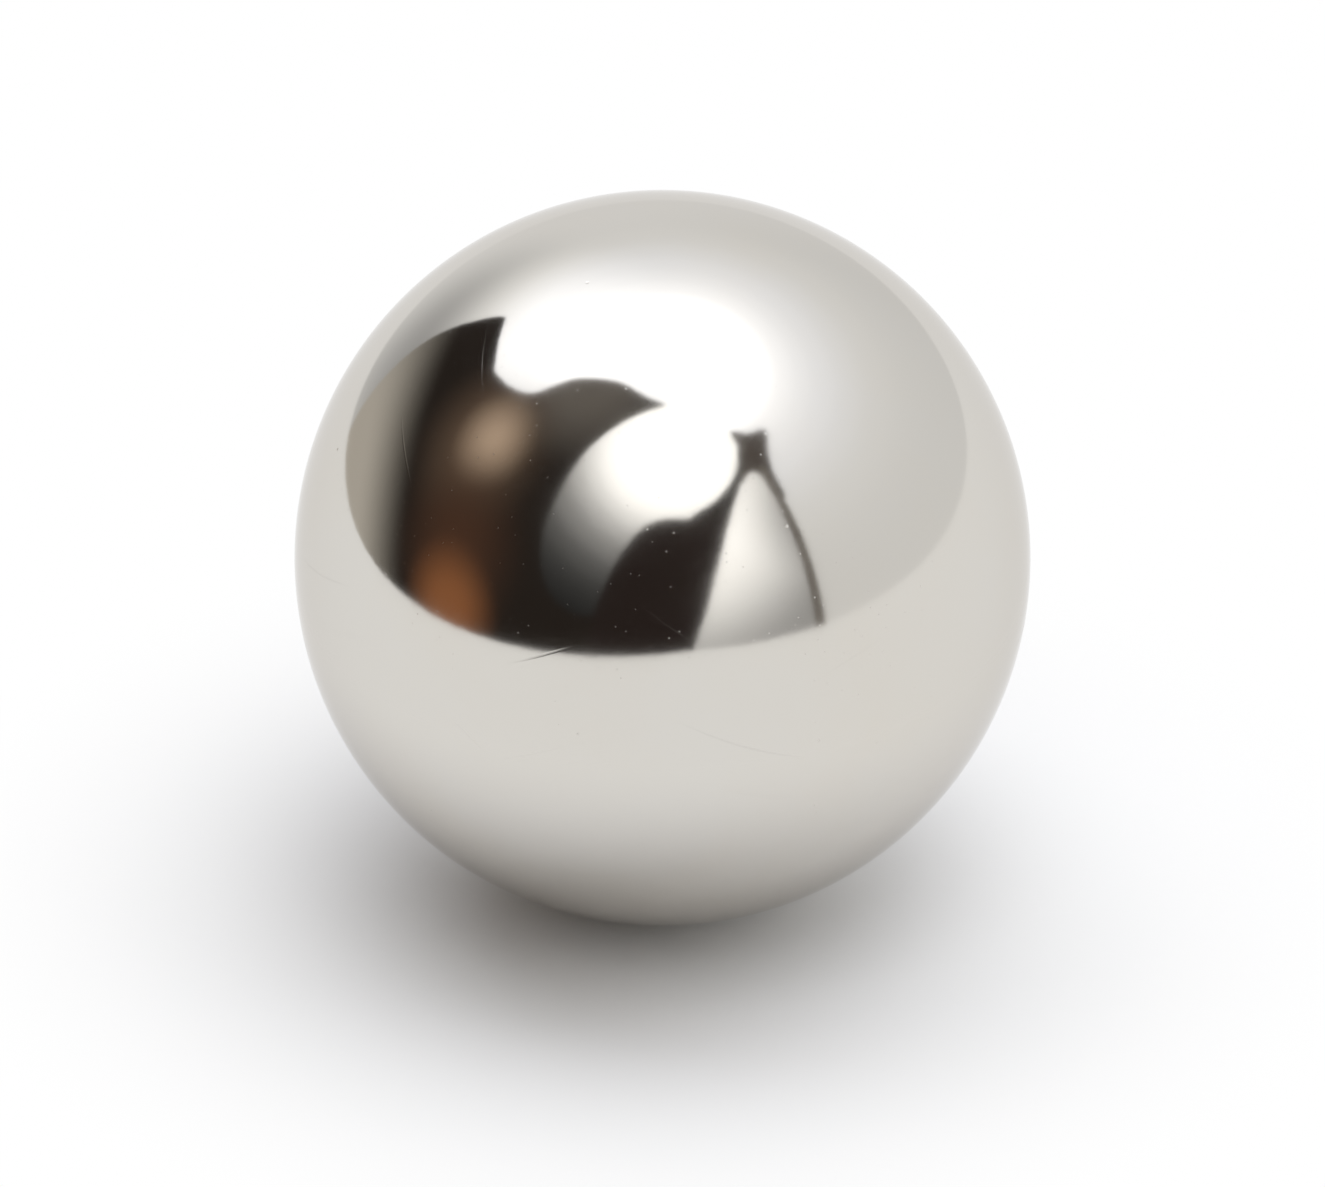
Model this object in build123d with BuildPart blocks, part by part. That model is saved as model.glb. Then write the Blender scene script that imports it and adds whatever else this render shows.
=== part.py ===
from build123d import *
import os

# One sphere magnet: a ball ground all over from sintered magnet stock and plated with bright nickel.
# The frame's origin is the ball's centre, and +Z is its magnetic axis, pointing to the north pole.

# Driving dimension, in millimetres
ball_diameter = 5.0  # measured over the plating

ball_radius = ball_diameter / 2
south_pole = (0, -ball_radius)
north_pole = (0, ball_radius)

# The half outline runs up the magnetic axis and back round the surface, and turns once about that axis.
with BuildPart() as magnet_ball:
    with BuildSketch(Plane.XZ):
        with BuildLine():
            Line(south_pole, north_pole)
            CenterArc(center=(0, 0), radius=ball_radius, start_angle=-90, arc_size=180)
        make_face()
    revolve(axis=Axis.Z)
magnet_ball.part.label = "magnet_ball"

os.makedirs("parts", exist_ok=True)
export_step(magnet_ball.part, "parts/magnet_ball.step")
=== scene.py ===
import math

import bpy
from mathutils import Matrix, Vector


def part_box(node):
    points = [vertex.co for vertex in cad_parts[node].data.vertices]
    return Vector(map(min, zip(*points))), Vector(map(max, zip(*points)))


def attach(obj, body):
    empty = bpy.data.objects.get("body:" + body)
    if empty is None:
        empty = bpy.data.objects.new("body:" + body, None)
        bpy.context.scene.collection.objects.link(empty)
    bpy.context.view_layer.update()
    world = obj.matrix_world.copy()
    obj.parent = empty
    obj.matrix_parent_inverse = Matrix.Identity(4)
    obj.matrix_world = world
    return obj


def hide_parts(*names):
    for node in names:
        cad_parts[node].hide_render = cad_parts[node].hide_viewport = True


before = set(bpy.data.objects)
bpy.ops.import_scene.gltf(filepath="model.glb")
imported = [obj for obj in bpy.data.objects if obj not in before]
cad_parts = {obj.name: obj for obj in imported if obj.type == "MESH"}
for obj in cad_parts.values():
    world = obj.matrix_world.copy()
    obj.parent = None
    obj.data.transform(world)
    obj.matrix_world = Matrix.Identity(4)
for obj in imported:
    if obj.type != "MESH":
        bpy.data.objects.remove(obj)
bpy.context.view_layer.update()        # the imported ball, which everything here is built round

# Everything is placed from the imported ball: its radius, the floor that it touches, and its middle,
# which is the frame's origin. Its box is a few micrometres short at one side, where a facet ends.
ballLow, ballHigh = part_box("magnet_ball")
ballMiddle = Vector((0.0, 0.0, 0.0))
ballRadius = (ballHigh.z - ballLow.z) / 2
floorHeight = ballLow.z

pictureShape = 1187 / 1325      # height of the picture for a width of 1
millimetre = 0.001
micrometre = 0.000001
white = (1.0, 1.0, 1.0, 1.0)
mixFactor, mixFirst, mixSecond, mixResult = 0, 6, 7, 2      # sockets of a Mix node for colours

cameraSettings = {
    "azimuth": 45.0,        # degrees round the ball, 0 looks along +Y
    "elevation": 29.0,      # degrees above the floor, as in the photograph
    "lens": 400.0,          # a long lens, because the photograph shows next to no perspective
    "sensor": 36.0,
    "ballShare": 0.62,      # the ball's share of the picture's height
    "lift": 0.03,           # how far above the middle the ball stands, as a share of the height
    "nearShare": 0.01,      # where the view begins, as a share of the way to the ball
    "farEnd": 20.0,         # metres from the camera where it ends
}


def towards(azimuth, elevation):
    # direction from the ball in degrees: azimuth 0 faces the camera and grows to its right
    turn = math.radians(cameraSettings["azimuth"] + azimuth)
    rise = math.radians(elevation)
    return Vector((math.sin(turn) * math.cos(rise), -math.cos(turn) * math.cos(rise), math.sin(rise)))


def placeCamera():
    s = cameraSettings
    pictureHeight = 2 * ballRadius / s["ballShare"]
    distance = pictureHeight / pictureShape * s["lens"] / s["sensor"]
    back = towards(0, s["elevation"])
    up = towards(0, s["elevation"] + 90)
    aim = ballMiddle - up * s["lift"] * pictureHeight
    bpy.ops.object.camera_add(location=aim + back * distance)
    camera = bpy.context.active_object
    camera.name = "camera"
    camera.rotation_mode = "QUATERNION"
    camera.rotation_quaternion = (-back).to_track_quat("-Z", "Y")
    camera.data.lens = s["lens"]
    camera.data.sensor_width = s["sensor"]
    camera.data.clip_start = distance * s["nearShare"]
    camera.data.clip_end = s["farEnd"]
    bpy.context.scene.camera = camera
    print("camera placed at", [round(v, 4) for v in camera.location])


# Small helpers for materials

def newMaterial(name):
    material = bpy.data.materials.new(name)
    material.use_nodes = True
    material.node_tree.nodes.clear()
    return material, material.node_tree


def addNode(tree, kind, place, inputs=None, **settings):
    node = tree.nodes.new(kind)
    node.location = place
    for name, value in settings.items():
        setattr(node, name, value)
    for name, value in (inputs or {}).items():
        node.inputs[name].default_value = value
    return node


def link(tree, *pairs):
    for output, socket in pairs:
        tree.links.new(output, socket)


def newGroup(name, inputs, outputs):
    group = bpy.data.node_groups.new(name, "ShaderNodeTree")
    for label, kind, value in inputs:
        socket = group.interface.new_socket(name=label, in_out="INPUT", socket_type=kind)
        if value is not None:
            socket.default_value = value
    for label, kind in outputs:
        group.interface.new_socket(name=label, in_out="OUTPUT", socket_type=kind)
    enter = addNode(group, "NodeGroupInput", (-900, 0))
    leave = addNode(group, "NodeGroupOutput", (900, 0))
    return group, enter, leave


def placeGroup(tree, group, place, inputs):
    return addNode(tree, "ShaderNodeGroup", place, inputs, node_tree=group)


# Soft round spot seen from the ball, full at its middle and gone at its reach, both in degrees

def makeSoftSpot():
    group, enter, leave = newGroup(
        "softSpot",
        [
            ("Vector", "NodeSocketVector", None),
            ("Middle", "NodeSocketVector", (0.0, 0.0, 1.0)),
            ("Full Within", "NodeSocketFloat", 5.0),
            ("Gone Beyond", "NodeSocketFloat", 20.0),
        ],
        [("Mask", "NodeSocketFloat"), ("Degrees", "NodeSocketFloat")],
    )
    unit = addNode(group, "ShaderNodeVectorMath", (-700, 0), operation="NORMALIZE")
    cosine = addNode(group, "ShaderNodeVectorMath", (-520, 0), operation="DOT_PRODUCT")
    angle = addNode(group, "ShaderNodeMath", (-340, 0), operation="ARCCOSINE")
    degrees = addNode(group, "ShaderNodeMath", (-160, 0), operation="DEGREES")
    fade = addNode(group, "ShaderNodeMapRange", (60, 0), interpolation_type="SMOOTHSTEP",
                   inputs={"To Min": 1.0, "To Max": 0.0})
    link(group,
         (enter.outputs["Vector"], unit.inputs[0]),
         (unit.outputs["Vector"], cosine.inputs[0]),
         (enter.outputs["Middle"], cosine.inputs[1]),
         (cosine.outputs["Value"], angle.inputs[0]),
         (angle.outputs[0], degrees.inputs[0]),
         (degrees.outputs[0], fade.inputs["Value"]),
         (enter.outputs["Full Within"], fade.inputs["From Min"]),
         (enter.outputs["Gone Beyond"], fade.inputs["From Max"]),
         (degrees.outputs[0], leave.inputs["Degrees"]),
         (fade.outputs["Result"], leave.inputs["Mask"]))
    return group


def addFalloff(tree, degrees, steps, place):
    # light by the angle from a lamp's middle, as a smooth ramp through the steps
    reach = steps[-1][0]
    share = addNode(tree, "ShaderNodeMath", (place[0], place[1]), operation="DIVIDE", inputs={1: reach})
    ramp = addNode(tree, "ShaderNodeValToRGB", (place[0] + 200, place[1]))
    ramp.color_ramp.interpolation = "CARDINAL"
    stops = ramp.color_ramp.elements
    while len(stops) < len(steps):
        stops.new(0.5)
    for stop, (angle, light) in zip(stops, steps):
        stop.position = angle / reach
        stop.color = (light, light, light, 1.0)
    link(tree, (degrees, share.inputs[0]), (share.outputs[0], ramp.inputs["Fac"]))
    return ramp.outputs["Color"]


# The ball and its bright nickel. Textures are in millimetres, and a scale is marks in a millimetre.

ballSettings = {
    "cuts": 95,                   # cuts along each edge of the cube that the ball starts as
    "startShare": 0.9,            # size of that cube beside the one that just fits in the ball
    "color": (0.67, 0.648, 0.607, 1.0),
    "warmColor": (0.672, 0.643, 0.592, 1.0),  # where a film from handling warms it a little
    "edgeTint": (0.84, 0.83, 0.82, 1.0),      # nickel dips a little before it brightens at its rim
    "roughness": 0.07,
    "haze": 0.05,                 # roughness that handling adds, where it is strongest
    "hairlineRoughness": 0.16,    # roughness that each kind of mark adds
    "pitRoughness": 0.25,
    "speckRoughness": 0.26,
    "waveHeight": 3.0,            # heights and depths in micrometres
    "peelHeight": 0.25,
    "hairlineDepth": 0.35,
    "pitDepth": 1.5,
    "waves": {"Scale": 0.8, "Detail": 1.0},
    "peel": {"Scale": 6.0, "Detail": 3.0},
    "hairlines": {"Across": 34.0, "Along": 0.55},           # how fine their noise is, each way
    "hairlineEdge": {"From Min": 0.80, "From Max": 0.90},   # noise where one starts, and is full
    "hairlineTurns": [(0.3, 0.9, 0.2), (1.4, 0.2, 1.9)],    # two sets of them, turned in radians
    "pits": {"Scale": 2.2, "Radius": 0.018},
    "specks": {"Scale": 13.0, "Radius": 0.010},             # fine dust
    "film": {"Scale": 0.55, "Detail": 5.0, "Roughness": 0.6, "Distortion": 0.4},
    "filmEdge": {"From Min": 0.4, "From Max": 0.72},
    "dustHold": {"From Min": 0.35, "From Max": 0.6, "To Min": 0.3},     # share of the dust that shows
}


def makePlatingWaves():
    group, enter, leave = newGroup(
        "platingWaves",
        [
            ("Vector", "NodeSocketVector", None),
            ("Wave Height", "NodeSocketFloat", 1.0),
            ("Peel Height", "NodeSocketFloat", 1.0),
        ],
        [("Height", "NodeSocketFloat")],
    )
    wave = addNode(group, "ShaderNodeTexNoise", (-600, 200), inputs=ballSettings["waves"])
    peel = addNode(group, "ShaderNodeTexNoise", (-600, -100), inputs=ballSettings["peel"])
    waveUp = addNode(group, "ShaderNodeMath", (-350, 200), operation="MULTIPLY")
    peelUp = addNode(group, "ShaderNodeMath", (-350, -100), operation="MULTIPLY")
    both = addNode(group, "ShaderNodeMath", (-100, 50), operation="ADD")
    link(group,
         (enter.outputs["Vector"], wave.inputs["Vector"]),
         (enter.outputs["Vector"], peel.inputs["Vector"]),
         (wave.outputs["Fac"], waveUp.inputs[0]),
         (enter.outputs["Wave Height"], waveUp.inputs[1]),
         (peel.outputs["Fac"], peelUp.inputs[0]),
         (enter.outputs["Peel Height"], peelUp.inputs[1]),
         (waveUp.outputs[0], both.inputs[0]),
         (peelUp.outputs[0], both.inputs[1]),
         (both.outputs[0], leave.inputs["Height"]))
    return group


def makeHairlines():
    group, enter, leave = newGroup(
        "hairlines",
        [
            ("Vector", "NodeSocketVector", None),
            ("Turn", "NodeSocketVector", (0.0, 0.0, 0.0)),
            ("Across", "NodeSocketFloat", 1.0),
            ("Along", "NodeSocketFloat", 1.0),
        ],
        [("Mask", "NodeSocketFloat")],
    )
    turn = addNode(group, "ShaderNodeVectorRotate", (-700, 0), rotation_type="EULER_XYZ")
    stretch = addNode(group, "ShaderNodeCombineXYZ", (-700, -250))
    thin = addNode(group, "ShaderNodeVectorMath", (-500, 0), operation="MULTIPLY")
    streaks = addNode(group, "ShaderNodeTexNoise", (-300, 0), inputs={"Scale": 1.0, "Detail": 0.0})
    sharp = addNode(group, "ShaderNodeMapRange", (-80, 0), interpolation_type="SMOOTHSTEP",
                    inputs=ballSettings["hairlineEdge"])
    link(group,
         (enter.outputs["Vector"], turn.inputs["Vector"]),
         (enter.outputs["Turn"], turn.inputs["Rotation"]),
         (enter.outputs["Across"], stretch.inputs["X"]),
         (enter.outputs["Along"], stretch.inputs["Y"]),
         (enter.outputs["Along"], stretch.inputs["Z"]),
         (turn.outputs["Vector"], thin.inputs[0]),
         (stretch.outputs["Vector"], thin.inputs[1]),
         (thin.outputs["Vector"], streaks.inputs["Vector"]),
         (streaks.outputs["Fac"], sharp.inputs["Value"]),
         (sharp.outputs["Result"], leave.inputs["Mask"]))
    return group


def makePits():
    group, enter, leave = newGroup(
        "pits",
        [
            ("Vector", "NodeSocketVector", None),
            ("Scale", "NodeSocketFloat", 1.0),
            ("Radius", "NodeSocketFloat", 0.1),
        ],
        [("Mask", "NodeSocketFloat")],
    )
    cells = addNode(group, "ShaderNodeTexVoronoi", (-600, 0), feature="F1")
    size = addNode(group, "ShaderNodeMath", (-400, -200), operation="MULTIPLY")
    dip = addNode(group, "ShaderNodeMapRange", (-150, 0), interpolation_type="SMOOTHSTEP",
                  inputs={"From Min": 0.0, "To Min": 1.0, "To Max": 0.0})
    link(group,
         (enter.outputs["Vector"], cells.inputs["Vector"]),
         (enter.outputs["Scale"], cells.inputs["Scale"]),
         (enter.outputs["Radius"], size.inputs[0]),
         (enter.outputs["Scale"], size.inputs[1]),
         (cells.outputs["Distance"], dip.inputs["Value"]),
         (size.outputs[0], dip.inputs["From Max"]),
         (dip.outputs["Result"], leave.inputs["Mask"]))
    return group


def makeNickelPlating():
    s = ballSettings
    material, tree = newMaterial("nickelPlating")
    place = addNode(tree, "ShaderNodeTexCoord", (-1500, 0))
    inMillimetres = addNode(tree, "ShaderNodeMapping", (-1300, 0),
                            inputs={"Scale": [1 / millimetre] * 3})
    link(tree, (place.outputs["Object"], inMillimetres.inputs["Vector"]))
    spot = inMillimetres.outputs["Vector"]

    waves = placeGroup(tree, makePlatingWaves(), (-1000, -500),
                       {"Wave Height": s["waveHeight"], "Peel Height": s["peelHeight"]})
    hairlineGroup = makeHairlines()
    hairlines = [placeGroup(tree, hairlineGroup, (-1000, 300 - 220 * i), {"Turn": turn, **s["hairlines"]})
                 for i, turn in enumerate(s["hairlineTurns"])]
    pitGroup = makePits()
    pits = placeGroup(tree, pitGroup, (-1000, -750), s["pits"])
    specks = placeGroup(tree, pitGroup, (-1000, -950), s["specks"])
    link(tree, *[(spot, node.inputs["Vector"]) for node in [waves, pits, specks, *hairlines]])
    lines = addNode(tree, "ShaderNodeMath", (-750, 200), operation="MAXIMUM")
    link(tree,
         (hairlines[0].outputs["Mask"], lines.inputs[0]),
         (hairlines[1].outputs["Mask"], lines.inputs[1]))

    # handling leaves a faint, uneven film
    film = addNode(tree, "ShaderNodeTexNoise", (-1000, 600), inputs=s["film"])
    filmMask = addNode(tree, "ShaderNodeMapRange", (-800, 600), inputs=s["filmEdge"])
    link(tree, (spot, film.inputs["Vector"]), (film.outputs["Fac"], filmMask.inputs["Value"]))

    # dust holds on best where the film is thick, and shows in the dark reflections
    hold = addNode(tree, "ShaderNodeMapRange", (-800, 850), inputs=s["dustHold"])
    dust = addNode(tree, "ShaderNodeMath", (-600, -900), operation="MULTIPLY")
    link(tree,
         (film.outputs["Fac"], hold.inputs["Value"]),
         (specks.outputs["Mask"], dust.inputs[0]),
         (hold.outputs["Result"], dust.inputs[1]))

    color = addNode(tree, "ShaderNodeMix", (-300, 400), data_type="RGBA",
                    inputs={mixFirst: s["color"], mixSecond: s["warmColor"]})
    rough = addNode(tree, "ShaderNodeMath", (-500, 100), operation="MULTIPLY_ADD",
                    inputs={1: s["haze"], 2: s["roughness"]})
    roughLines = addNode(tree, "ShaderNodeMath", (-300, 100), operation="MULTIPLY_ADD",
                         inputs={1: s["hairlineRoughness"]})
    roughPits = addNode(tree, "ShaderNodeMath", (-100, 100), operation="MULTIPLY_ADD",
                        inputs={1: s["pitRoughness"]})
    roughSpecks = addNode(tree, "ShaderNodeMath", (-100, -100), operation="MULTIPLY_ADD",
                          inputs={1: s["speckRoughness"]})
    link(tree,
         (filmMask.outputs["Result"], color.inputs[mixFactor]),
         (filmMask.outputs["Result"], rough.inputs[0]),
         (lines.outputs[0], roughLines.inputs[0]),
         (rough.outputs[0], roughLines.inputs[2]),
         (pits.outputs["Mask"], roughPits.inputs[0]),
         (roughLines.outputs[0], roughPits.inputs[2]),
         (dust.outputs[0], roughSpecks.inputs[0]),
         (roughPits.outputs[0], roughSpecks.inputs[2]))

    cutLines = addNode(tree, "ShaderNodeMath", (-500, -300), operation="MULTIPLY_ADD",
                       inputs={1: -s["hairlineDepth"]})
    cutPits = addNode(tree, "ShaderNodeMath", (-300, -300), operation="MULTIPLY_ADD",
                      inputs={1: -s["pitDepth"]})
    bump = addNode(tree, "ShaderNodeBump", (-100, -300), inputs={"Strength": 1.0, "Distance": micrometre})
    link(tree,
         (lines.outputs[0], cutLines.inputs[0]),
         (waves.outputs["Height"], cutLines.inputs[2]),
         (pits.outputs["Mask"], cutPits.inputs[0]),
         (cutLines.outputs[0], cutPits.inputs[2]),
         (cutPits.outputs[0], bump.inputs["Height"]))

    shader = addNode(tree, "ShaderNodeBsdfPrincipled", (150, 100),
                     inputs={"Metallic": 1.0, "Specular Tint": s["edgeTint"]})
    out = addNode(tree, "ShaderNodeOutputMaterial", (450, 100))
    link(tree,
         (color.outputs[mixResult], shader.inputs["Base Color"]),
         (roughSpecks.outputs[0], shader.inputs["Roughness"]),
         (bump.outputs["Normal"], shader.inputs["Normal"]),
         (shader.outputs["BSDF"], out.inputs["Surface"]))
    print("bright nickel mixed")
    return material


def makeMagnetBall():
    s = ballSettings
    bpy.ops.object.select_all(action="DESELECT")
    cubeSize = 2 * ballRadius / math.sqrt(3) * s["startShare"]
    bpy.ops.mesh.primitive_cube_add(size=cubeSize, location=ballMiddle)
    ball = bpy.context.active_object
    ball.name = "plated_ball"
    bpy.ops.object.mode_set(mode="EDIT")
    bpy.ops.mesh.select_all(action="SELECT")
    bpy.ops.mesh.subdivide(number_cuts=s["cuts"])
    bpy.ops.transform.tosphere(value=1.0)
    bpy.ops.mesh.normals_make_consistent(inside=False)
    bpy.ops.object.mode_set(mode="OBJECT")
    ground = ball.modifiers.new("Ground round", "CAST")     # it moves only what starts within its radius
    ground.cast_type = "SPHERE"
    ground.factor = 1.0
    ground.radius = ballRadius
    ground.use_radius_as_size = True
    bpy.ops.object.modifier_apply(modifier=ground.name)
    bpy.ops.object.shade_smooth()
    bpy.ops.object.transform_apply(location=True, rotation=True, scale=True)
    ball.data.materials.append(makeNickelPlating())
    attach(ball, "root")
    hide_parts("magnet_ball")
    low = min(v.co.length for v in ball.data.vertices)
    high = max(v.co.length for v in ball.data.vertices)
    print("ball made,", len(ball.data.polygons), "faces, radius", low, "to", high)


# The studio: floor, white tent, dark opening, round lamp, dark flag, white card and lamp stand. None of it
# is part of the object. Directions are azimuth and elevation in degrees, as in towards, and distances from
# the ball are in metres.

flatSettings = {
    "startShare": 0.95,       # distance it starts at, as a share of the one that it is curved to
    "smoothing": 5,           # levels that round off its outline
}


def hideFromCamera(piece):
    # its light and its reflection count, and no view is blocked by it
    piece.visible_camera = False
    for material in piece.data.materials:
        material.cycles.emission_sampling = "NONE"      # all of it is broad and soft, so rays find it


def plainGlow(name, color):
    material, tree = newMaterial(name)
    glow = addNode(tree, "ShaderNodeEmission", (0, 0), inputs={"Color": color, "Strength": 1.0})
    out = addNode(tree, "ShaderNodeOutputMaterial", (250, 0))
    link(tree, (glow.outputs[0], out.inputs["Surface"]))
    return material


def makeFlat(name, shape, material):
    # a fan of faces whose rim follows the outline, smoothed and curved round the ball
    distance = shape["distance"]
    bpy.ops.object.select_all(action="DESELECT")
    bpy.ops.mesh.primitive_circle_add(vertices=len(shape["outline"]), radius=distance,
                                      fill_type="TRIFAN", location=ballMiddle)
    flat = bpy.context.active_object
    flat.name = name
    rim = iter(shape["outline"])
    for vertex in flat.data.vertices:
        onRim = vertex.co.length > distance / 2
        direction = towards(*(next(rim) if onRim else shape["middle"]))
        vertex.co = direction * distance * flatSettings["startShare"]
    smooth = flat.modifiers.new("Smooth outline", "SUBSURF")
    smooth.levels = smooth.render_levels = flatSettings["smoothing"]
    curve = flat.modifiers.new("Curve round the ball", "CAST")
    curve.cast_type = "SPHERE"
    curve.factor = 1.0
    curve.radius = distance
    curve.use_radius_as_size = True
    bpy.ops.object.modifier_apply(modifier=smooth.name)
    bpy.ops.object.modifier_apply(modifier=curve.name)
    flat.data.materials.append(material)
    hideFromCamera(flat)


def lightWorld():
    world = bpy.data.worlds.new("whiteWorld")
    bpy.context.scene.world = world
    world.use_nodes = True
    world.cycles.sampling_method = "NONE"
    background = world.node_tree.nodes["Background"]
    background.inputs["Color"].default_value = white
    background.inputs["Strength"].default_value = 1.0
    print("world lit white")


floorSettings = {
    "size": 6.0,
    "color": (0.95, 0.95, 0.95, 1.0),
    "shadeTo": 0.6,           # ball radii from the ball where the floor still takes its shadow in full
    "whiteFrom": 2.1,         # ball radii where it is plain white
    "edgeTowards": -80,       # the white sheet ends at this side, in front of the dark opening
    "edgeAway": 11.5,         # ball radii to that edge
}


def makeFloor():
    s = floorSettings
    bpy.ops.object.select_all(action="DESELECT")
    bpy.ops.mesh.primitive_plane_add(size=s["size"], location=(ballMiddle.x, ballMiddle.y, floorHeight))
    floor = bpy.context.active_object
    floor.name = "floor"
    edgeSide = towards(s["edgeTowards"], 0)
    bpy.ops.object.mode_set(mode="EDIT")
    bpy.ops.mesh.select_all(action="SELECT")
    bpy.ops.mesh.bisect(plane_co=edgeSide * s["edgeAway"] * ballRadius, plane_no=edgeSide,
                        clear_outer=True)
    bpy.ops.object.mode_set(mode="OBJECT")

    # paper round the ball, where its shadow falls, and farther out plain white to camera and mirror
    material, tree = newMaterial("whiteFloor")
    place = addNode(tree, "ShaderNodeTexCoord", (-1000, 0))
    reach = addNode(tree, "ShaderNodeVectorMath", (-800, 0), operation="LENGTH")
    fade = addNode(tree, "ShaderNodeMapRange", (-600, 0), interpolation_type="SMOOTHSTEP",
                   inputs={"From Min": s["shadeTo"] * ballRadius, "From Max": s["whiteFrom"] * ballRadius})
    ray = addNode(tree, "ShaderNodeLightPath", (-1000, -300))
    seen = addNode(tree, "ShaderNodeMath", (-700, -300), operation="MAXIMUM")
    seenAny = addNode(tree, "ShaderNodeMath", (-500, -300), operation="MAXIMUM")
    share = addNode(tree, "ShaderNodeMath", (-300, -100), operation="MULTIPLY")
    paper = addNode(tree, "ShaderNodeBsdfDiffuse", (-300, 200), inputs={"Color": s["color"]})
    plain = addNode(tree, "ShaderNodeEmission", (-300, 50), inputs={"Color": white, "Strength": 1.0})
    both = addNode(tree, "ShaderNodeMixShader", (0, 100))
    out = addNode(tree, "ShaderNodeOutputMaterial", (250, 100))
    link(tree,
         (place.outputs["Object"], reach.inputs[0]),
         (reach.outputs["Value"], fade.inputs["Value"]),
         (ray.outputs["Is Camera Ray"], seen.inputs[0]),
         (ray.outputs["Is Glossy Ray"], seen.inputs[1]),
         (seen.outputs[0], seenAny.inputs[0]),
         (ray.outputs["Is Transmission Ray"], seenAny.inputs[1]),
         (fade.outputs["Result"], share.inputs[0]),
         (seenAny.outputs[0], share.inputs[1]),
         (share.outputs[0], both.inputs["Fac"]),
         (paper.outputs[0], both.inputs[1]),
         (plain.outputs[0], both.inputs[2]),
         (both.outputs[0], out.inputs["Surface"]))
    floor.data.materials.append(material)
    print("floor laid at", floorHeight)


tentSettings = {
    "radius": 1.2,
    "segments": 64,
    "rings": 48,
    "lowEdge": -0.2,          # height where it ends, below the floor
    "topLight": 1.75,
    # degrees from straight overhead, and the light as a share of the top light
    "falloff": [(0, 1.0), (27, 1.0), (30, 0.87), (35, 0.76), (40, 0.68), (47, 0.61), (55, 0.55),
                (65, 0.51), (80, 0.487), (120, 0.50)],
    # direction, full within, gone beyond, and the light it adds or takes there
    "spots": [
        ((-130, 46), 3.0, 35.0, 0.50),
        ((-175, 2), 5.0, 32.0, 0.09),
        ((-135, 14), 0.0, 34.0, -0.42),
    ],
    "coolTint": (0.985, 1.0, 1.045, 1.0),     # where its light is strongest
    "coolFrom": 62.0,                         # degrees from overhead where the tint sets in
    "coolTo": 42.0,                           # and where it is full
}


def makeTent(softSpot):
    s = tentSettings
    bpy.ops.object.select_all(action="DESELECT")
    bpy.ops.mesh.primitive_uv_sphere_add(segments=s["segments"], ring_count=s["rings"],
                                         radius=s["radius"], location=ballMiddle)
    tent = bpy.context.active_object
    tent.name = "tent"
    bpy.ops.object.mode_set(mode="EDIT")
    bpy.ops.mesh.select_all(action="SELECT")
    bpy.ops.mesh.bisect(plane_co=(0, 0, s["lowEdge"]), plane_no=(0, 0, 1), clear_inner=True)
    bpy.ops.object.mode_set(mode="OBJECT")
    bpy.ops.object.shade_smooth()

    material, tree = newMaterial("tentCloth")
    place = addNode(tree, "ShaderNodeTexCoord", (-1100, 0))
    overhead = placeGroup(tree, softSpot, (-800, 200), {"Middle": (0.0, 0.0, 1.0)})
    falloff = addFalloff(tree, overhead.outputs["Degrees"], s["falloff"], (-600, 200))
    light = addNode(tree, "ShaderNodeMath", (-100, 200), operation="MULTIPLY", inputs={1: s["topLight"]})
    link(tree, (place.outputs["Object"], overhead.inputs["Vector"]), (falloff, light.inputs[0]))
    for i, (middle, full, gone, amount) in enumerate(s["spots"]):
        spot = placeGroup(tree, softSpot, (-800, -250 * i),
                          {"Middle": towards(*middle), "Full Within": full, "Gone Beyond": gone})
        added = addNode(tree, "ShaderNodeMath", (100 + 180 * i, 0), operation="MULTIPLY_ADD",
                        inputs={1: amount})
        link(tree,
             (place.outputs["Object"], spot.inputs["Vector"]),
             (spot.outputs["Mask"], added.inputs[0]),
             (light.outputs[0], added.inputs[2]))
        light = added
    cool = addNode(tree, "ShaderNodeMapRange", (-300, 450), interpolation_type="SMOOTHSTEP",
                   inputs={"From Min": s["coolFrom"], "From Max": s["coolTo"]})
    tint = addNode(tree, "ShaderNodeMix", (-100, 450), data_type="RGBA",
                   inputs={mixFirst: white, mixSecond: s["coolTint"]})
    glow = addNode(tree, "ShaderNodeEmission", (700, 0))
    out = addNode(tree, "ShaderNodeOutputMaterial", (900, 0))
    link(tree,
         (overhead.outputs["Degrees"], cool.inputs["Value"]),
         (cool.outputs["Result"], tint.inputs[mixFactor]),
         (tint.outputs[mixResult], glow.inputs["Color"]),
         (light.outputs[0], glow.inputs["Strength"]),
         (glow.outputs[0], out.inputs["Surface"]))
    tent.data.materials.append(material)
    hideFromCamera(tent)
    print("tent hung")


# Way out of the tent into a dark room, with soft glows in it

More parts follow.
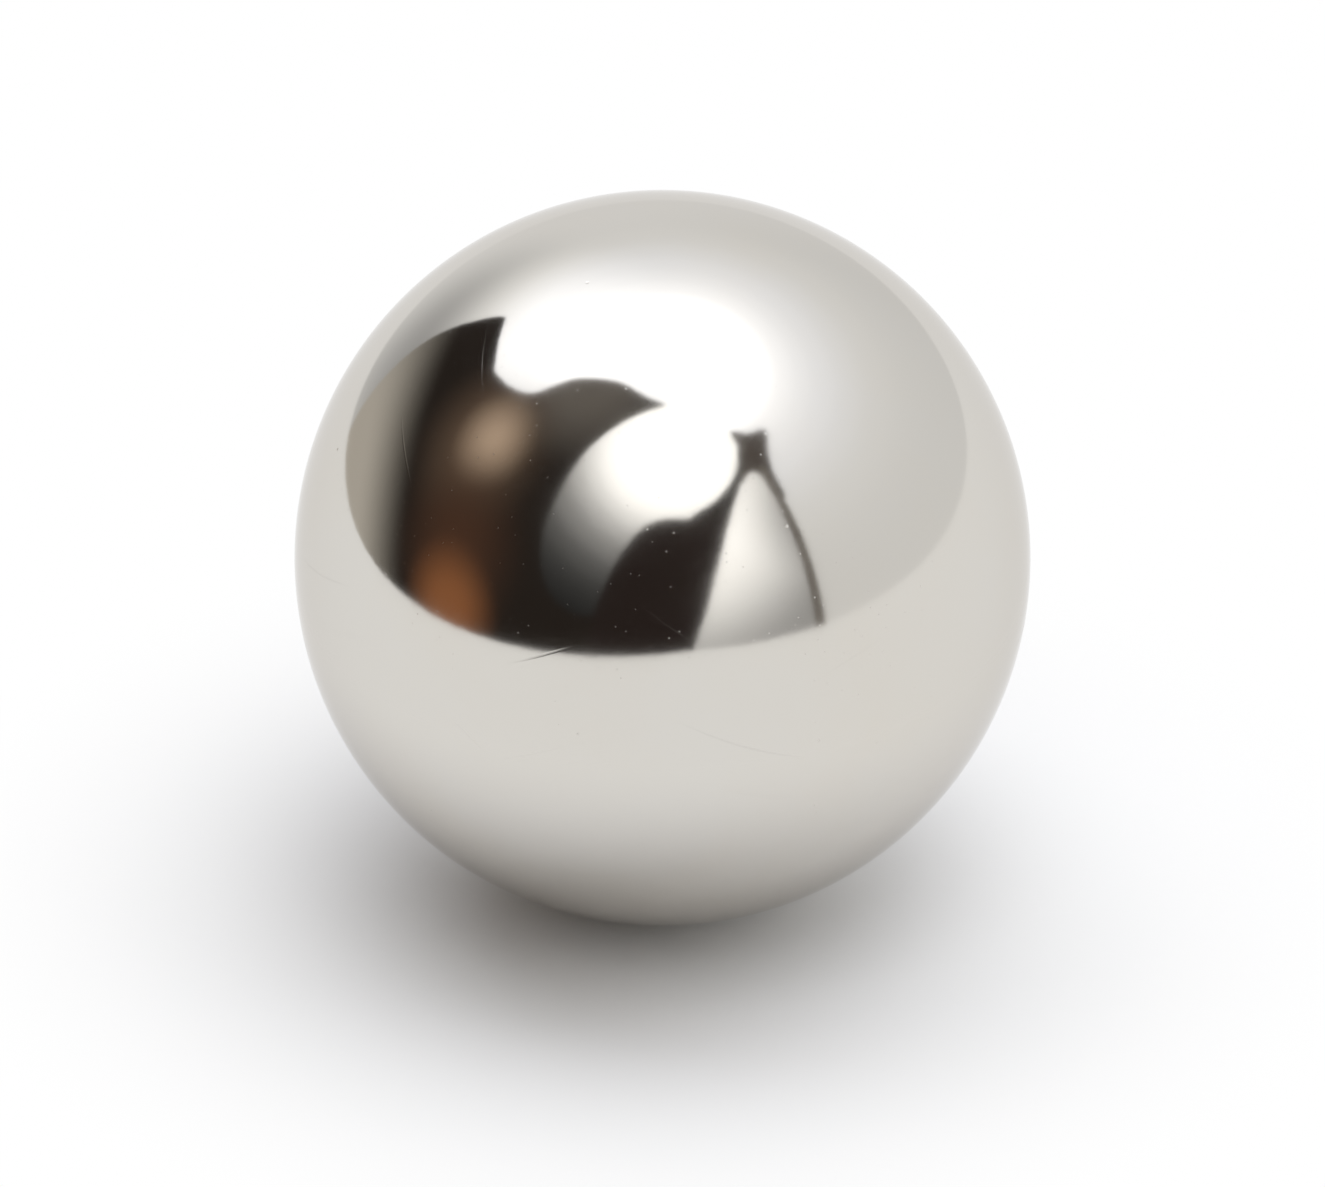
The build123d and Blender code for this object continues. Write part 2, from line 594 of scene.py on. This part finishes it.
openingSettings = {
    "distance": 1.1,
    "middle": (-60, 35),
    "outline": [(7, -10), (9.5, 0), (14, 11), (20, 25.5), (29, 39.5), (44, 50), (46, 58), (30, 66),
                (12, 75), (2, 78.0), (-10, 78.6), (-30, 79.3), (-58, 79.4), (-78, 76.9), (-88.2, 71.5),
                (-93.6, 66.2), (-92.3, 60), (-92.1, 54), (-101.5, 49), (-111, 43.8), (-122.5, 40.2),
                (-131, 38.9), (-138, 40.3), (-137.3, 31), (-138.3, 22), (-138.3, 14), (-138, 5),
                (-137, -10), (-110, -10), (-60, -10), (-20, -10)],
    "color": (0.024, 0.019, 0.016, 1.0),
    # direction, full within, gone beyond, and colour
    "glows": [
        ((-80, 70), 4.0, 28.0, (0.15, 0.135, 0.12, 1.0)),
        ((-86, 37), 0.0, 28.0, (0.15, 0.10, 0.07, 1.0)),
        ((-84, 41), 0.0, 16.0, (0.56, 0.42, 0.31, 1.0)),
        ((-72, 14), 0.0, 28.0, (0.08, 0.04, 0.025, 1.0)),
        ((-68.5, -1.5), 3.0, 19.0, (0.30, 0.12, 0.05, 1.0)),
        ((-129.5, -16), 18.0, 44.5, (0.54, 0.505, 0.45, 1.0)),
    ],
}


def makeOpening(softSpot):
    s = openingSettings
    material, tree = newMaterial("darkRoom")
    place = addNode(tree, "ShaderNodeTexCoord", (-1200, 0))
    color = None
    for i, (middle, full, gone, tint) in enumerate(s["glows"]):
        spot = placeGroup(tree, softSpot, (-900 + 250 * i, -300),
                          {"Middle": towards(*middle), "Full Within": full, "Gone Beyond": gone})
        mix = addNode(tree, "ShaderNodeMix", (-800 + 250 * i, 100), data_type="RGBA",
                      inputs={mixFirst: s["color"], mixSecond: tint})
        link(tree,
             (place.outputs["Object"], spot.inputs["Vector"]),
             (spot.outputs["Mask"], mix.inputs[mixFactor]))
        if color:
            link(tree, (color, mix.inputs[mixFirst]))
        color = mix.outputs[mixResult]
    glow = addNode(tree, "ShaderNodeEmission", (600, 0), inputs={"Strength": 1.0})
    out = addNode(tree, "ShaderNodeOutputMaterial", (800, 0))
    link(tree, (color, glow.inputs["Color"]), (glow.outputs[0], out.inputs["Surface"]))
    makeFlat("darkOpening", s, material)
    print("dark opening hung")


lampSettings = {
    "distance": 0.9,
    "middle": (0, 50),
    "outline": [(5, 77.3), (-6, 76.2), (-15, 75.0), (-26, 72.3), (-34.5, 67.8), (-40.7, 62),
                (-43.8, 56.5), (-44.6, 50), (-44.8, 40), (-44.7, 28), (-39, 14), (-26, 6), (-10, 14),
                (2, 34), (11, 41.6), (21, 43.8), (30, 47.2), (39, 52.4), (47, 59), (45, 67), (24, 76)],
    "light": 1.8,
    "brightTowards": (8, 62),
    # degrees from there, and the light as a share
    "falloff": [(0, 1.0), (17, 0.955), (23, 0.71), (27.5, 0.478), (33, 0.26), (40, 0.117),
                (47, 0.047), (60, 0.012)],
}


def makeLamp(softSpot):
    s = lampSettings
    material, tree = newMaterial("roundLamp")
    place = addNode(tree, "ShaderNodeTexCoord", (-900, 0))
    spot = placeGroup(tree, softSpot, (-700, 0), {"Middle": towards(*s["brightTowards"])})
    falloff = addFalloff(tree, spot.outputs["Degrees"], s["falloff"], (-500, 0))
    glow = addNode(tree, "ShaderNodeEmission", (0, 0), inputs={"Strength": s["light"]})
    out = addNode(tree, "ShaderNodeOutputMaterial", (250, 0))
    link(tree,
         (place.outputs["Object"], spot.inputs["Vector"]),
         (falloff, glow.inputs["Color"]),
         (glow.outputs[0], out.inputs["Surface"]))
    makeFlat("roundLamp", s, material)
    print("round lamp hung")


# Black cloth below the round lamp, on the camera's side

flagSettings = {
    "distance": 0.8,
    "middle": (2, 20),
    "outline": [(13, 39.9), (1, 41.7), (-7, 38.8), (-12.2, 33.6), (-18, 23), (-22, 8), (-24, -10),
                (6, -10), (9, 0), (13.5, 11), (19.5, 26), (27, 38.5), (24, 41.5)],
    "color": (0.026, 0.019, 0.017, 1.0),
}


def makeFlag():
    makeFlat("darkFlag", flagSettings, plainGlow("darkCloth", flagSettings["color"]))
    print("dark flag hung")


# White card between the flag and the stand, lit by the round lamp from above

cardSettings = {
    "distance": 1.0,
    "middle": (32, 18),
    "outline": [(6, -10), (9, 0), (13.5, 11), (19.5, 26.5), (26, 37.6), (33, 45), (41, 50.2), (47, 51.5),
                (48.7, 44), (48.7, 30), (48.7, 10), (48.7, -10), (28, -10)],
    "brightTowards": (5, 45),
    "brightWithin": 16.0,
    "darkBeyond": 56.0,
    "brightLight": 1.62,
    "darkLight": 0.42,
    "shadeTowards": (51, 36),     # the stand shades the card beside it
    "shadeReach": 23.0,
    "shadeAmount": 0.55,
}


def makeCard(softSpot):
    s = cardSettings
    material, tree = newMaterial("litCard")
    place = addNode(tree, "ShaderNodeTexCoord", (-900, 0))
    spot = placeGroup(tree, softSpot, (-600, 0),
                      {"Middle": towards(*s["brightTowards"]), "Full Within": s["brightWithin"],
                       "Gone Beyond": s["darkBeyond"]})
    light = addNode(tree, "ShaderNodeMapRange", (-300, 0),
                    inputs={"To Min": s["darkLight"], "To Max": s["brightLight"]})
    shade = placeGroup(tree, softSpot, (-600, -300),
                       {"Middle": towards(*s["shadeTowards"]), "Full Within": 0.0,
                        "Gone Beyond": s["shadeReach"]})
    shaded = addNode(tree, "ShaderNodeMath", (-100, -100), operation="MULTIPLY_ADD",
                     inputs={1: -s["shadeAmount"]})
    glow = addNode(tree, "ShaderNodeEmission", (100, 0))
    out = addNode(tree, "ShaderNodeOutputMaterial", (300, 0))
    link(tree,
         (place.outputs["Object"], spot.inputs["Vector"]),
         (place.outputs["Object"], shade.inputs["Vector"]),
         (spot.outputs["Mask"], light.inputs["Value"]),
         (shade.outputs["Mask"], shaded.inputs[0]),
         (light.outputs["Result"], shaded.inputs[2]),
         (shaded.outputs[0], glow.inputs["Strength"]),
         (glow.outputs[0], out.inputs["Surface"]))
    makeFlat("litCard", s, material)
    print("white card hung")


poleSettings = {
    "azimuth": 49.0,
    "distance": 0.5,
    "top": 52.0,              # elevation of the pole's top, seen from the ball
    "radius": 0.014,
    "sides": 24,
    "color": (0.15, 0.13, 0.11, 1.0),
}

clampSettings = {
    "distance": 0.75,
    "middle": (50, 55),
    "outline": [(46, 65), (53, 58), (69, 57.5), (57, 52.5), (52.5, 47), (52, 42), (52, 37),
                (46.5, 39), (47.5, 44), (46.5, 48.5), (42.5, 50), (36, 46.5), (36, 48.7),
                (41.5, 51.4), (45.5, 57)],
    "color": (0.07, 0.055, 0.045, 1.0),
}


def makeStand():
    s = poleSettings
    bpy.ops.object.select_all(action="DESELECT")
    foot = towards(s["azimuth"], 0) * s["distance"]
    height = s["distance"] * math.tan(math.radians(s["top"]))
    bpy.ops.mesh.primitive_cylinder_add(vertices=s["sides"], radius=s["radius"], depth=height,
                                        location=(foot.x, foot.y, floorHeight + height / 2))
    pole = bpy.context.active_object
    pole.name = "standPole"
    pole.data.materials.append(plainGlow("greyMetal", s["color"]))
    hideFromCamera(pole)
    makeFlat("standClamp", clampSettings, plainGlow("blackMetal", clampSettings["color"]))
    print("lamp stand set up")


bpy.context.scene.view_settings.view_transform = "Standard"
placeCamera()
softSpot = makeSoftSpot()
lightWorld()
makeFloor()
makeTent(softSpot)
makeOpening(softSpot)
makeLamp(softSpot)
makeFlag()
makeCard(softSpot)
makeStand()
makeMagnetBall()
